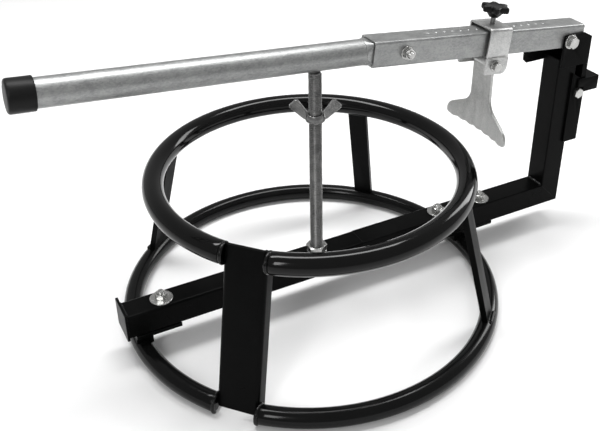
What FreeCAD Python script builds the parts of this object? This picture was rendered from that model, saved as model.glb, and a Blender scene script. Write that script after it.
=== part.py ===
import FreeCAD, Part
import math
import os
from FreeCAD import Vector

# Portable motorcycle tyre changer: a ring stand that a wheel lies on, a cross bar with a
# threaded centre rod, and a hinged bead-breaker lever with a sliding shoe. Millimetres, +Z up.
# All stand positions are measured from the centre of the rings, on the floor.

# Where the ring centre sits in the part's frame, so that the origin is the middle of the footprint
RING_CENTRE_X = -55.1

# Ring stand
RING_TUBE_RADIUS = 11.1
RING_WALL = 2.0
BASE_RING_RADIUS = 228.6
TOP_RING_RADIUS = 187.0
TOP_RING_HEIGHT = 183.0
SLEEVE_RADIUS = 12.6
WELD_GAP = 0.05
LEG_ANGLES = {"leg_front_right": -47.3, "leg_back_right": 42.7, "leg_back_left": 132.7}
LEG_WIDTH = 25.4
LEG_THICKNESS = 7.5
JOINT_LEG_ANGLE = -137.8
JOINT_LEG_WIDTH = 49.0
JOINT_LEG_DEPTH = 19.0
JOINT_LEG_WALL = 3.0
JOINT_LEG_BOTTOM = 9.5
JOINT_LEG_TOP = 195.4
JOINT_LEG_CROWN = 17.0

# Square tube used for the cross bar, the post and the lever
TUBE = 31.75
HALF = TUBE / 2
TUBE_WALL = 2.0

# Cross bar and post
BAR_BOTTOM = 32.5
BAR_TOP = BAR_BOTTOM + TUBE
BAR_LEFT = -244.5
BAR_SEAM = 68.0
POST_OUTER = 395.4
POST_INNER = POST_OUTER - TUBE
POST_TOP = 259.0
PAD_BOTTOM = 27.5
PAD_SADDLE_HALF = 12.5
PAD_SADDLE_BOTTOM = 15.0
BAR_BOLTS = (-198.3, 192.9, 263.5)
BAR_BOLT_RADIUS = 4.0

# Centre rod and wing nut
ROD_X = 7.5
ROD_RADIUS = 7.9
ROD_NUT_FLATS = 23.8
ROD_TOP = 311.0
ROD_BOTTOM = 28.0
WING_NUT_BOTTOM = 249.5
WING_NUT_TURN = -28.0

# Hinge bracket on the post, and the lever pivot
PLATE = 3.0
EAR_INNER = 16.25
EAR_OUTER = EAR_INNER + PLATE
BRACKET_OUTER = 412.0
PIVOT_X = 375.0
PIVOT_Z = 284.5
PIVOT_RADIUS = 4.75
BRACKET_BOLT_X = 400.1
BRACKET_BOLT_Z = 206.0

# Lever, measured in its own frame: the pivot is the origin and X runs along the square tube
LEVER_TILT = 6.26
LEVER_AXIS_RISE = 5.33
LEVER_MOUTH = -301.1
LEVER_END = 22.3
DIMPLE_FIRST = -218.6
DIMPLE_PITCH = 12.1
DIMPLE_COUNT = 16
HANDLE_DROOP = 1.69
HANDLE_LENGTH = 400.0
PIPE_RADIUS = 15.45
PIPE_WALL = 1.9
SPIGOT_HALF = 13.7
SPIGOT_LENGTH = 62.0
PLUG_LENGTH = 40.0
HANDLE_BORE = 9.5
NECK_LENGTH = 9.0
CAP_RADIUS = 17.7
CAP_LENGTH = 27.0
HANDLE_BOLT_X = -256.0

# Sliding carriage and shoe
SLIDER_LEFT = -139.2
SLIDER_RIGHT = -106.0
SLIDER_GAP = 3.6
SLIDER_PLATE = 2.5
SLIDER_HEAD_ROOM = 3.3
SCREW_X = -121.8
SCREW_RADIUS = 3.1
SHOE_PIVOT_X = -123.2
SHOE_PIVOT_Z = -21.2
SHOE_BOLT_RADIUS = 4.0
SHOE_THICKNESS = 4.0
SHOE_CURVE = 321.0
SHOE_DROP = 96.6
SHANK_HALF = 19.0
RUNNING_FIT = 0.05

BARREL_RADIUS = 6.0
X_AXIS = Vector(1, 0, 0)
Y_AXIS = Vector(0, 1, 0)
Z_AXIS = Vector(0, 0, 1)
ORIGIN = Vector(0, 0, 0)


def box(x0, x1, y0, y1, z0, z1):
    return Part.makeBox(x1 - x0, y1 - y0, z1 - z0, Vector(x0, y0, z0))


def rod(radius, start, direction, length):
    return Part.makeCylinder(radius, length, start, direction)


def tube(outer, inner, start, direction, length):
    return rod(outer, start, direction, length).cut(rod(inner, start, direction, length))


def side_plate(points, y0, y1):
    """A flat plate drawn in X and Z, running from y0 to y1."""
    corners = [Vector(x, y0, z) for x, z in points]
    face = Part.Face(Part.makePolygon(corners + corners[:1]))
    return face.extrude(Vector(0, y1 - y0, 0))


def long_edges_rounded(shape, direction, radius):
    """Rounds the edges that run along the given direction."""
    edges = []
    for edge in shape.Edges:
        if edge.Curve.TypeId == "Part::GeomLine":
            along = edge.tangentAt(edge.FirstParameter)
            if abs(along.dot(direction)) > 0.999:
                edges.append(edge)
    return shape.makeFillet(radius, edges)


def square_tube(x0, x1, z_centre):
    """A length of square tube along X with rounded corners and an open bore."""
    outer = box(x0, x1, -HALF, HALF, z_centre - HALF, z_centre + HALF)
    outer = long_edges_rounded(outer, X_AXIS, 3.0)
    inner_half = HALF - TUBE_WALL
    inner = box(x0 - 1, x1 + 1, -inner_half, inner_half, z_centre - inner_half, z_centre + inner_half)
    inner = long_edges_rounded(inner, X_AXIS, 1.5)
    return outer.cut(inner)


def hexagon(across_flats, height, start, direction):
    """A hexagonal prism, used for nuts and bolt heads."""
    radius = across_flats / math.sqrt(3)
    points = []
    for index in range(6):
        angle = math.radians(60 * index)
        points.append(Vector(radius * math.cos(angle), radius * math.sin(angle), 0))
    prism = Part.Face(Part.makePolygon(points + points[:1])).extrude(Vector(0, 0, height))
    chamfer = Part.makeCone(radius * 0.93 + height * 1.7, radius * 0.93, height)
    prism = prism.common(chamfer)
    turn = FreeCAD.Rotation(Z_AXIS, direction)
    prism.Placement = FreeCAD.Placement(start, turn)
    return prism


def nut(across_flats, height, bore, start, direction):
    return hexagon(across_flats, height, start, direction).cut(rod(bore, start, direction, height))


def cross_bolt(radius, across_flats, x, z, head_y, tip_y):
    """A hexagon-headed bolt along Y with its head outside head_y and its end at tip_y."""
    step = 1 if tip_y > head_y else -1
    head_height = radius * 1.3
    head = hexagon(across_flats, head_height, Vector(x, head_y, z), Vector(0, -step, 0))
    shank = rod(radius, Vector(x, head_y, z), Vector(0, step, 0), abs(tip_y - head_y))
    return head.fuse(shank).removeSplitter()


def cross_washers(outer, inner, x, z, inside_y, thickness=1.5):
    """A pair of washers, one on each side, with their inner faces at inside_y."""
    near = tube(outer, inner, Vector(x, -inside_y, z), Vector(0, -1, 0), thickness)
    far = tube(outer, inner, Vector(x, inside_y, z), Y_AXIS, thickness)
    return Part.Compound([near, far])


def turned(shape, angle):
    """A shape drawn on +X, turned about the ring axis."""
    copy = shape.copy()
    copy.rotate(ORIGIN, Z_AXIS, angle)
    return copy


def ring_solid(ring_radius, tube_radius, height):
    return Part.makeTorus(ring_radius, tube_radius, Vector(0, 0, height), Z_AXIS)


def joint_slot(half_width):
    """The slot in a ring where the joint leg stands between its two ends."""
    slot = box(120, 300, -half_width, half_width, -30, 260)
    return turned(slot, JOINT_LEG_ANGLE)


def open_ring(ring_radius, height):
    """A ring of round tube, bent from one length with its ends at the joint leg."""
    outer = ring_solid(ring_radius, RING_TUBE_RADIUS, height)
    inner = ring_solid(ring_radius, RING_TUBE_RADIUS - RING_WALL, height)
    return outer.cut(inner).cut(joint_slot(JOINT_LEG_WIDTH / 2 + WELD_GAP))


def plain_leg(angle):
    """A flat bar from the top of the base ring to the underside of the top ring."""
    foot_radius = BASE_RING_RADIUS + 1.5
    half = LEG_THICKNESS / 2
    points = [
        (foot_radius - half, RING_TUBE_RADIUS),
        (foot_radius + half, RING_TUBE_RADIUS),
        (TOP_RING_RADIUS + half, TOP_RING_HEIGHT),
        (TOP_RING_RADIUS - half, TOP_RING_HEIGHT),
    ]
    bar = side_plate(points, -LEG_WIDTH / 2, LEG_WIDTH / 2)
    seat = RING_TUBE_RADIUS + WELD_GAP
    bar = bar.cut(ring_solid(BASE_RING_RADIUS, seat, RING_TUBE_RADIUS))
    bar = bar.cut(ring_solid(TOP_RING_RADIUS, seat, TOP_RING_HEIGHT))
    return turned(bar, angle)


def joint_leg():
    """The wide channel leg that closes both rings: web outside, flanges turned inwards."""
    slope = (BASE_RING_RADIUS + 1.4 - TOP_RING_RADIUS) / 182.0
    outer_top = TOP_RING_RADIUS - (JOINT_LEG_TOP - 190) * slope
    outer_bottom = TOP_RING_RADIUS + (190 - JOINT_LEG_BOTTOM) * slope
    outline = [
        (outer_bottom - JOINT_LEG_DEPTH, JOINT_LEG_BOTTOM),
        (outer_bottom, JOINT_LEG_BOTTOM),
        (outer_top, JOINT_LEG_TOP),
        (outer_top - 4.0, JOINT_LEG_TOP),
        (outer_top - JOINT_LEG_DEPTH, JOINT_LEG_TOP - JOINT_LEG_CROWN),
    ]
    hollow = [
        (outer_bottom + slope - JOINT_LEG_DEPTH - 9, JOINT_LEG_BOTTOM - 1),
        (outer_bottom + slope - JOINT_LEG_WALL, JOINT_LEG_BOTTOM - 1),
        (outer_top - slope - JOINT_LEG_WALL, JOINT_LEG_TOP + 1),
        (outer_top - slope - JOINT_LEG_DEPTH - 9, JOINT_LEG_TOP + 1),
    ]
    half = JOINT_LEG_WIDTH / 2
    inner = half - JOINT_LEG_WALL
    leg = side_plate(outline, -half, half).cut(side_plate(hollow, -inner, inner))
    return turned(leg, JOINT_LEG_ANGLE)


def top_sleeve():
    """The vinyl sleeve on the top ring, notched where each leg meets the steel."""
    sleeve = ring_solid(TOP_RING_RADIUS, SLEEVE_RADIUS, TOP_RING_HEIGHT)
    sleeve = sleeve.cut(ring_solid(TOP_RING_RADIUS, RING_TUBE_RADIUS + WELD_GAP, TOP_RING_HEIGHT))
    sleeve = sleeve.cut(joint_slot(JOINT_LEG_WIDTH / 2 + 3.0))
    for angle in LEG_ANGLES.values():
        notch = box(150, 220, -LEG_WIDTH / 2 - 0.4, LEG_WIDTH / 2 + 0.4, 160, TOP_RING_HEIGHT - 6)
        sleeve = sleeve.cut(turned(notch, angle))
    return sleeve


def ring_stand():
    parts = {
        "base_ring": open_ring(BASE_RING_RADIUS, RING_TUBE_RADIUS),
        "top_ring": open_ring(TOP_RING_RADIUS, TOP_RING_HEIGHT),
        "top_ring_sleeve": top_sleeve(),
        "leg_joint_channel": joint_leg(),
    }
    for name, angle in LEG_ANGLES.items():
        parts[name] = plain_leg(angle)
    return parts


def mounting_pad(x0, x1, bolts):
    """A flat pad that the bar bolts down to, on a saddle block welded over the base ring."""
    pad = box(x0, x1, -HALF, HALF, PAD_BOTTOM, BAR_BOTTOM)
    ring_x = math.copysign(BASE_RING_RADIUS, x0 + x1)
    left = max(x0, ring_x - PAD_SADDLE_HALF)
    right = ring_x + PAD_SADDLE_HALF
    saddle = box(left, right, -PAD_SADDLE_HALF, PAD_SADDLE_HALF, PAD_SADDLE_BOTTOM, PAD_BOTTOM)
    pad = pad.fuse(saddle).removeSplitter()
    pad = pad.cut(ring_solid(BASE_RING_RADIUS, RING_TUBE_RADIUS + WELD_GAP, RING_TUBE_RADIUS))
    for x in bolts:
        pad = pad.cut(rod(BAR_BOLT_RADIUS + 0.3, Vector(x, 0, 0), Z_AXIS, 60))
    return pad


def bar_with_holes(shape, holes):
    for x, radius in holes:
        shape = shape.cut(rod(radius, Vector(x, 0, 0), Z_AXIS, 90))
    return shape


def mitred(points, bore_points):
    """A length of square tube drawn in X and Z with one end cut to a mitre."""
    bore_half = HALF - TUBE_WALL
    return side_plate(points, -HALF, HALF).cut(side_plate(bore_points, -bore_half, bore_half))


def bar_and_post():
    centre = BAR_BOTTOM + HALF
    bolt_hole = BAR_BOLT_RADIUS + 0.3
    left = square_tube(BAR_LEFT, BAR_SEAM - 0.1, centre)
    left = bar_with_holes(left, [(BAR_BOLTS[0], bolt_hole), (ROD_X, ROD_RADIUS + 0.3)])
    low = BAR_BOTTOM + TUBE_WALL
    high = BAR_TOP - TUBE_WALL
    near = POST_INNER + TUBE_WALL
    far = POST_OUTER - TUBE_WALL
    arm = mitred(
        [(BAR_SEAM, BAR_BOTTOM), (POST_OUTER, BAR_BOTTOM), (POST_INNER, BAR_TOP), (BAR_SEAM, BAR_TOP)],
        [(BAR_SEAM - 1, low), (far, low), (near, high), (BAR_SEAM - 1, high)],
    )
    arm = long_edges_rounded(arm, X_AXIS, 1.4)
    arm = bar_with_holes(arm, [(x, bolt_hole) for x in BAR_BOLTS[1:]])
    post = mitred(
        [(POST_OUTER, BAR_BOTTOM), (POST_OUTER, POST_TOP), (POST_INNER, POST_TOP), (POST_INNER, BAR_TOP)],
        [(far, low), (far, POST_TOP + 1), (near, POST_TOP + 1), (near, high)],
    )
    post = long_edges_rounded(post, Z_AXIS, 1.4)
    splice_half = HALF - TUBE_WALL - 0.1
    splice = box(28, 118, -splice_half, splice_half, centre - splice_half, centre + splice_half)
    bore_half = splice_half - 2.0
    splice = long_edges_rounded(splice, X_AXIS, 1.6)
    splice = splice.cut(box(20, 130, -bore_half, bore_half, centre - bore_half, centre + bore_half))
    end_plate = box(BAR_LEFT - 3, BAR_LEFT, -20, 20, BAR_BOTTOM - 0.2, BAR_BOTTOM + 37.5)
    return {
        "cross_bar": left,
        "post_arm": arm,
        "post": post,
        "bar_splice_tube": splice,
        "bar_end_plate": long_edges_rounded(end_plate, X_AXIS, 2.0),
        "mounting_pad_left": mounting_pad(-236, -181, BAR_BOLTS[:1]),
        "mounting_pad_right": mounting_pad(180, 277, BAR_BOLTS[1:]),
    }


def bar_fasteners():
    """Three bolts up through the pads and the bar, each with a wide washer and a nut."""
    bolts = []
    washers = []
    nuts = []
    for x in BAR_BOLTS:
        head = hexagon(12.7, 5.3, Vector(x, 0, PAD_BOTTOM), Vector(0, 0, -1))
        shank = rod(BAR_BOLT_RADIUS, Vector(x, 0, PAD_BOTTOM), Z_AXIS, BAR_TOP + 11.5 - PAD_BOTTOM)
        bolts.append(head.fuse(shank).removeSplitter())
        washers.append(tube(13.7, BAR_BOLT_RADIUS + 0.2, Vector(x, 0, BAR_TOP), Z_AXIS, 1.6))
        nuts.append(nut(12.7, 6.7, BAR_BOLT_RADIUS + 0.02, Vector(x, 0, BAR_TOP + 1.6), Z_AXIS))
    return {
        "bar_bolts": Part.Compound(bolts),
        "bar_bolt_washers": Part.Compound(washers),
        "bar_bolt_nuts": Part.Compound(nuts),
    }


def centre_rod():
    """The threaded rod, held by a nut and washer on top of the bar and a thin nut below."""
    shaft = rod(ROD_RADIUS, Vector(ROD_X, 0, ROD_BOTTOM), Z_AXIS, ROD_TOP - ROD_BOTTOM - 1.2)
    tip = Part.makeCone(ROD_RADIUS, ROD_RADIUS - 1.2, 1.2, Vector(ROD_X, 0, ROD_TOP - 1.2), Z_AXIS)
    above = Vector(ROD_X, 0, BAR_TOP)
    below = Vector(ROD_X, 0, BAR_BOTTOM)
    down = Vector(0, 0, -1)
    nut_above = nut(ROD_NUT_FLATS, 8.0, ROD_RADIUS + 0.02, Vector(ROD_X, 0, BAR_TOP + 1.2), Z_AXIS)
    nut_below = nut(ROD_NUT_FLATS, 4.0, ROD_RADIUS + 0.02, below, down)
    return {
        "threaded_rod": shaft.fuse(tip).removeSplitter(),
        "rod_nuts": Part.Compound([nut_above, nut_below]),
        "rod_washer": tube(12.6, ROD_RADIUS + 0.2, above, Z_AXIS, 1.2),
    }


def wing_nut():
    """A wing nut with two straight wings that lean outwards at about 45 degrees."""
    bore = ROD_RADIUS + RUNNING_FIT
    hub = Part.makeCone(11.6, 10.8, 9.5)
    wing_points = [(9.0, 0.8), (13.5, 2.5), (31.5, 18.5), (21.5, 28.2), (9.0, 10.5)]
    right = side_plate(wing_points, -1.75, 1.75)
    left = right.copy()
    left.rotate(ORIGIN, Z_AXIS, 180)
    body = hub.fuse([right, left]).removeSplitter()
    body = body.cut(rod(bore, Vector(0, 0, -1), Z_AXIS, 40))
    body.rotate(ORIGIN, Z_AXIS, WING_NUT_TURN)
    body.translate(Vector(ROD_X, 0, WING_NUT_BOTTOM))
    return {"wing_nut": body}


def bracket_flange(points, y0, y1):
    """One side of the hinge bracket, drilled for the lever pivot and the clamp bolt."""
    flange = side_plate(points, y0, y1)
    flange = flange.cut(rod(PIVOT_RADIUS + 0.02, Vector(PIVOT_X, -40, PIVOT_Z), Y_AXIS, 80))
    return flange.cut(rod(4.3, Vector(BRACKET_BOLT_X, -40, BRACKET_BOLT_Z), Y_AXIS, 80))


def hinge_bracket():
    """A folded channel on the post: long lower flanges, and ears above for the lever."""
    lower = [(404, 226), (388.5, 236), (388.5, 131), (BRACKET_OUTER, 131), (BRACKET_OUTER, 286)]
    front_ear = [(398.5, 293.3), (368.0, 293.3), (364.5, 289.8), (364.5, 247.5), (404, 247.5)]
    rear_ear = [(398.5, 293.3), (335.0, 293.3), (330.5, 288.8), (330.5, 254), (335.5, 249.3), (404, 249.3)]
    front = bracket_flange(lower + front_ear, -EAR_OUTER, -EAR_INNER)
    rear = bracket_flange(lower + rear_ear, EAR_INNER, EAR_OUTER)
    web = box(BRACKET_OUTER - PLATE, BRACKET_OUTER, -EAR_OUTER, EAR_OUTER, 131, 286)
    return front.fuse([rear, web]).removeSplitter()


def stop_block():
    """A folded box closed at the top and the outer end, welded round the back of the bracket."""
    side = EAR_OUTER + 0.05
    start = 397.5
    block = box(start, 434, -side - PLATE, side + PLATE, 206, 226)
    block = long_edges_rounded(block, Z_AXIS, 1.2)
    block = block.cut(box(start - 3, 431, -side, side, 200, 223))
    block = block.cut(box(start - 3, 407.6, -40, 40, 200, 214))
    return block.cut(box(start - 3, BRACKET_OUTER + 0.05, -side, side, 200, 230))


def bracket_parts():
    bolt_end = EAR_OUTER + 12.5
    pivot_end = EAR_OUTER + 14.0
    washer = 1.5
    far_face = EAR_OUTER + washer
    pivot_nut = Vector(PIVOT_X, far_face, PIVOT_Z)
    clamp_nut = Vector(BRACKET_BOLT_X, far_face, BRACKET_BOLT_Z)
    return {
        "hinge_bracket": hinge_bracket(),
        "stop_block": stop_block(),
        "hinge_bolt": cross_bolt(PIVOT_RADIUS, 14.3, PIVOT_X, PIVOT_Z, -far_face, pivot_end),
        "hinge_washers": cross_washers(9.8, PIVOT_RADIUS + 0.2, PIVOT_X, PIVOT_Z, EAR_OUTER),
        "hinge_nut": nut(14.3, 8.3, PIVOT_RADIUS + 0.02, pivot_nut, Y_AXIS),
        "bracket_bolt": cross_bolt(4.0, 12.7, BRACKET_BOLT_X, BRACKET_BOLT_Z, -EAR_OUTER, bolt_end),
        "bracket_nut": nut(12.7, 6.7, 4.02, clamp_nut, Y_AXIS),
        "bracket_washer": tube(7.2, 4.2, Vector(BRACKET_BOLT_X, EAR_OUTER, BRACKET_BOLT_Z), Y_AXIS, washer),
    }


def on_lever(shape):
    """Carries a shape from the lever's own frame to the lever at rest."""
    shape.rotate(ORIGIN, Y_AXIS, LEVER_TILT)
    shape.translate(Vector(PIVOT_X, 0, PIVOT_Z))
    return shape


def on_handle(shape):
    """Carries a shape drawn along -X from the tube mouth onto the drooping handle."""
    shape.rotate(ORIGIN, Y_AXIS, -HANDLE_DROOP)
    shape.translate(Vector(LEVER_MOUTH, 0, LEVER_AXIS_RISE))
    return on_lever(shape)


def lever_tube():
    body = square_tube(LEVER_MOUTH, LEVER_END, LEVER_AXIS_RISE)
    body = body.cut(rod(PIVOT_RADIUS + RUNNING_FIT, Vector(0, -30, 0), Y_AXIS, 60))
    body = body.cut(rod(4.3, Vector(HANDLE_BOLT_X, -30, LEVER_AXIS_RISE), Y_AXIS, 60))
    top = LEVER_AXIS_RISE + HALF
    for index in range(DIMPLE_COUNT):
        centre = Vector(DIMPLE_FIRST + index * DIMPLE_PITCH, 0, top - 1.2)
        body = body.cut(Part.makeCone(0.3, 2.1, 1.5, centre, Z_AXIS))
    return on_lever(body)


def rounded_square(half, radius, x):
    """A closed outline across X: straight sides joined by round corners."""
    flat = half - radius
    edges = []
    for quarter in range(4):
        turn = math.radians(90 * quarter)
        cosine = math.cos(turn)
        sine = math.sin(turn)
        diagonal = radius / math.sqrt(2)
        local = [(half, -flat), (half, flat), (flat + diagonal, flat + diagonal), (flat, half)]
        placed = [Vector(x, y * cosine - z * sine, y * sine + z * cosine) for y, z in local]
        edges.append(Part.makeLine(placed[0], placed[1]))
        edges.append(Part.Arc(placed[1], placed[2], placed[3]).toShape())
    return Part.Wire(edges)


def handle_spigot():
    """The square end of the handle, pushed into the lever tube and bolted there."""
    x0 = LEVER_MOUTH + 0.5
    x1 = LEVER_MOUTH + SPIGOT_LENGTH
    low = LEVER_AXIS_RISE - SPIGOT_HALF
    high = LEVER_AXIS_RISE + SPIGOT_HALF
    body = long_edges_rounded(box(x0, x1, -SPIGOT_HALF, SPIGOT_HALF, low, high), X_AXIS, 3.0)
    body = body.cut(rod(HANDLE_BORE, Vector(x0 - 1, 0, LEVER_AXIS_RISE), X_AXIS, SPIGOT_LENGTH + 2))
    return on_lever(body.cut(rod(4.3, Vector(HANDLE_BOLT_X, -30, LEVER_AXIS_RISE), Y_AXIS, 60)))


def handle_neck():
    """The formed neck between the round pipe and the square end inside the lever tube."""
    shoulder = rounded_square(SPIGOT_HALF, 3.0, 0.0)
    collar = rounded_square(PIPE_RADIUS, PIPE_RADIUS - 0.1, -NECK_LENGTH)
    neck = Part.makeLoft([shoulder, collar], True, True)
    plug_start = Vector(-NECK_LENGTH - PLUG_LENGTH, 0, 0)
    plug = rod(PIPE_RADIUS - PIPE_WALL - 0.03, plug_start, X_AXIS, PLUG_LENGTH + 1)
    bore = rod(HANDLE_BORE, plug_start - X_AXIS, X_AXIS, NECK_LENGTH + PLUG_LENGTH + 4)
    return on_handle(neck.fuse(plug).cut(bore))


def moved(shape, x, z):
    shape.translate(Vector(x, 0, z))
    return shape


def handle_parts():
    pipe_start = -NECK_LENGTH - 0.1
    pipe_length = HANDLE_LENGTH - NECK_LENGTH - 3.0
    start = Vector(pipe_start, 0, 0)
    left = Vector(-1, 0, 0)
    pipe = tube(PIPE_RADIUS, PIPE_RADIUS - PIPE_WALL, start, left, pipe_length)
    cap_end = Vector(-HANDLE_LENGTH, 0, 0)
    cap = rod(CAP_RADIUS, cap_end, X_AXIS, CAP_LENGTH)
    rim = [edge for edge in cap.Edges if abs(edge.BoundBox.XMin + HANDLE_LENGTH) < 0.01]
    cap = cap.makeFillet(2.0, [edge for edge in rim if edge.BoundBox.XLength < 0.01])
    cap = cap.cut(rod(PIPE_RADIUS + 0.03, Vector(-HANDLE_LENGTH + 2.8, 0, 0), X_AXIS, CAP_LENGTH))
    washer_face = HALF + 1.5
    nut_start = Vector(HANDLE_BOLT_X, -washer_face, LEVER_AXIS_RISE)
    bolt = cross_bolt(4.0, 12.7, HANDLE_BOLT_X, LEVER_AXIS_RISE, washer_face, -washer_face - 10)
    washers = cross_washers(8.5, 4.2, HANDLE_BOLT_X, LEVER_AXIS_RISE, HALF)
    return {
        "lever_tube": lever_tube(),
        "handle_spigot": handle_spigot(),
        "handle_neck": handle_neck(),
        "handle_pipe": on_handle(pipe),
        "handle_end_cap": on_handle(cap),
        "handle_bolt": on_lever(bolt),
        "handle_bolt_washers": on_lever(washers),
        "handle_nut": on_lever(nut(12.7, 6.7, 4.02, nut_start, Vector(0, -1, 0))),
        "pivot_bush": on_lever(pivot_bush()),
    }


def pivot_bush():
    """A spacer inside the lever tube that keeps the pivot bolt from crushing it."""
    half = HALF - TUBE_WALL - 0.1
    return tube(7.0, PIVOT_RADIUS + RUNNING_FIT, Vector(0, -half, 0), Y_AXIS, half * 2)


def slider_saddle():
    """A folded plate over the lever tube: a top, two sides, and a tapped hole for the screw."""
    inner = HALF + SLIDER_GAP
    outer = inner + SLIDER_PLATE
    top = LEVER_AXIS_RISE + HALF + SLIDER_HEAD_ROOM
    bottom = LEVER_AXIS_RISE - HALF
    saddle = box(SLIDER_LEFT, SLIDER_RIGHT, -outer, outer, bottom, top + SLIDER_PLATE)
    crown = [
        edge for edge in saddle.Edges
        if edge.BoundBox.XLength > 1 and edge.BoundBox.ZMin > top
    ]
    saddle = saddle.makeFillet(4.0, crown)
    saddle = saddle.cut(box(SLIDER_LEFT - 1, SLIDER_RIGHT + 1, -inner, inner, bottom - 1, top))
    return saddle.cut(rod(SCREW_RADIUS + RUNNING_FIT, Vector(SCREW_X, 0, top - 1), Z_AXIS, 8))


def yoke_tab(x0, x1, bottom, left_radius, right_radius, y0):
    """One ear of the shoe yoke, welded under the side of the saddle."""
    top = LEVER_AXIS_RISE - HALF - 0.05
    tab = box(x0, x1, y0, y0 + SLIDER_PLATE, bottom, top)
    for x, radius in ((x0, left_radius), (x1, right_radius)):
        corner = [
            edge for edge in tab.Edges
            if edge.BoundBox.YLength > 1 and edge.BoundBox.ZMax < bottom + 0.01
            and abs(edge.BoundBox.XMin - x) < 0.01
        ]
        tab = tab.makeFillet(radius, corner)
    return tab.cut(rod(SHOE_BOLT_RADIUS + 0.02, Vector(SHOE_PIVOT_X, -30, SHOE_PIVOT_Z), Y_AXIS, 60))


def slider_parts():
    inner = HALF + SLIDER_GAP
    outer = inner + SLIDER_PLATE
    front = yoke_tab(-140.0, -104.4, -32.9, 3.0, 9.0, -outer)
    rear = yoke_tab(-149.0, -104.4, -29.9, 3.0, 7.0, inner)
    washer_face = outer + 1.5
    nut_start = Vector(SHOE_PIVOT_X, washer_face, SHOE_PIVOT_Z)
    bolt = cross_bolt(SHOE_BOLT_RADIUS, 11.0, SHOE_PIVOT_X, SHOE_PIVOT_Z, -washer_face, washer_face + 9)
    washers = cross_washers(7.5, 4.2, SHOE_PIVOT_X, SHOE_PIVOT_Z, outer)
    return {
        "slider_saddle": on_lever(slider_saddle()),
        "yoke_tab_front": on_lever(front),
        "yoke_tab_rear": on_lever(rear),
        "shoe_pivot_bolt": on_lever(bolt),
        "shoe_pivot_washers": on_lever(washers),
        "shoe_pivot_nut": on_lever(nut(11.0, 6.5, 4.02, nut_start, Y_AXIS)),
    }


def knob_parts():
    """A six-lobed hand knob on a clamp screw that seats in the dimples."""
    plate_top = LEVER_AXIS_RISE + HALF + SLIDER_HEAD_ROOM + SLIDER_PLATE
    hub_bottom = plate_top + 8.8
    head_bottom = hub_bottom + 7.0
    head_height = 8.0
    hub = Part.makeCone(6.0, 11.0, head_bottom - hub_bottom, Vector(0, 0, hub_bottom), Z_AXIS)
    core = Part.makeCylinder(14.4, head_height, Vector(0, 0, head_bottom), Z_AXIS)
    lobes = []
    for index in range(6):
        angle = math.radians(60 * index)
        place = Vector(13.4 * math.cos(angle), 13.4 * math.sin(angle), head_bottom)
        lobes.append(Part.makeCylinder(4.9, head_height, place, Z_AXIS))
    knob = hub.fuse([core] + lobes).removeSplitter()
    tip = LEVER_AXIS_RISE + HALF + 0.3
    socket_top = head_bottom + 3
    knob = knob.cut(rod(SCREW_RADIUS + 0.02, Vector(0, 0, hub_bottom - 1), Z_AXIS, socket_top - hub_bottom + 1))
    screw = rod(SCREW_RADIUS, Vector(0, 0, tip + 1.0), Z_AXIS, socket_top - tip - 1.1)
    point = Part.makeCone(1.6, SCREW_RADIUS, 1.0, Vector(0, 0, tip), Z_AXIS)
    screw = screw.fuse(point).removeSplitter()
    return {
        "clamp_knob": on_lever(moved(knob, SCREW_X, 0)),
        "clamp_screw": on_lever(moved(screw, SCREW_X, 0)),
    }


def shoe_outline():
    """The face of the shoe in Y and Z below its pivot: a shank that spreads into two wings."""
    right = [
        Part.makeLine(Vector(0, SHANK_HALF, 0), Vector(0, SHANK_HALF, -48.6)),
        Part.Arc(Vector(0, SHANK_HALF, -48.6), Vector(0, 21.8, -58.6), Vector(0, 30, -66.6)).toShape(),
        Part.makeLine(Vector(0, 30, -66.6), Vector(0, 50, -76.6)),
        Part.Arc(Vector(0, 50, -76.6), Vector(0, 58, -82.6), Vector(0, 61, -91.6)).toShape(),
        Part.Arc(Vector(0, 61, -91.6), Vector(0, 60.3, -95.4), Vector(0, 57, -SHOE_DROP)).toShape(),
    ]
    scallops = []
    count = 7
    pitch = 114.0 / count
    for index in range(count):
        start = 57 - index * pitch
        crest = Vector(0, start - pitch / 2, -SHOE_DROP - 2.2)
        scallops.append(Part.Arc(
            Vector(0, start, -SHOE_DROP), crest, Vector(0, start - pitch, -SHOE_DROP)).toShape())
    left = []
    for edge in right:
        left.append(edge.mirror(ORIGIN, Y_AXIS))
    closing = Part.makeLine(Vector(0, -SHANK_HALF, 0), Vector(0, SHANK_HALF, 0))
    groups = Part.sortEdges(right + scallops + left + [closing])
    return Part.Face(Part.Wire(groups[0]))


def shoe_parts():
    """The bead-breaker shoe: a plate bowed across its width, welded to a pivot barrel."""
    face = shoe_outline()
    face.translate(Vector(-30, 0, 0))
    slab = face.extrude(Vector(60, 0, 0))
    front = -2.0
    bow_centre = Vector(front - SHOE_CURVE, 0, -120)
    shell = tube(SHOE_CURVE + SHOE_THICKNESS, SHOE_CURVE, bow_centre, Z_AXIS, 140)
    plate = slab.common(shell)
    half = SHANK_HALF - 0.1
    barrel_start = Vector(0, -half, 0)
    plate = plate.cut(rod(BARREL_RADIUS + 0.02, barrel_start - Y_AXIS, Y_AXIS, half * 2 + 2))
    barrel = tube(BARREL_RADIUS, SHOE_BOLT_RADIUS + RUNNING_FIT, barrel_start, Y_AXIS, half * 2)
    pivot = on_lever(Part.Vertex(SHOE_PIVOT_X, 0, SHOE_PIVOT_Z)).Point
    plate.translate(pivot)
    barrel.translate(pivot)
    return {"shoe_blade": plate, "shoe_barrel": barrel}


def solids_only(shape):
    """The solids of a shape, as one solid or as a group of separate solids."""
    solids = shape.Solids
    return solids[0] if len(solids) == 1 else Part.Compound(solids)


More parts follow.
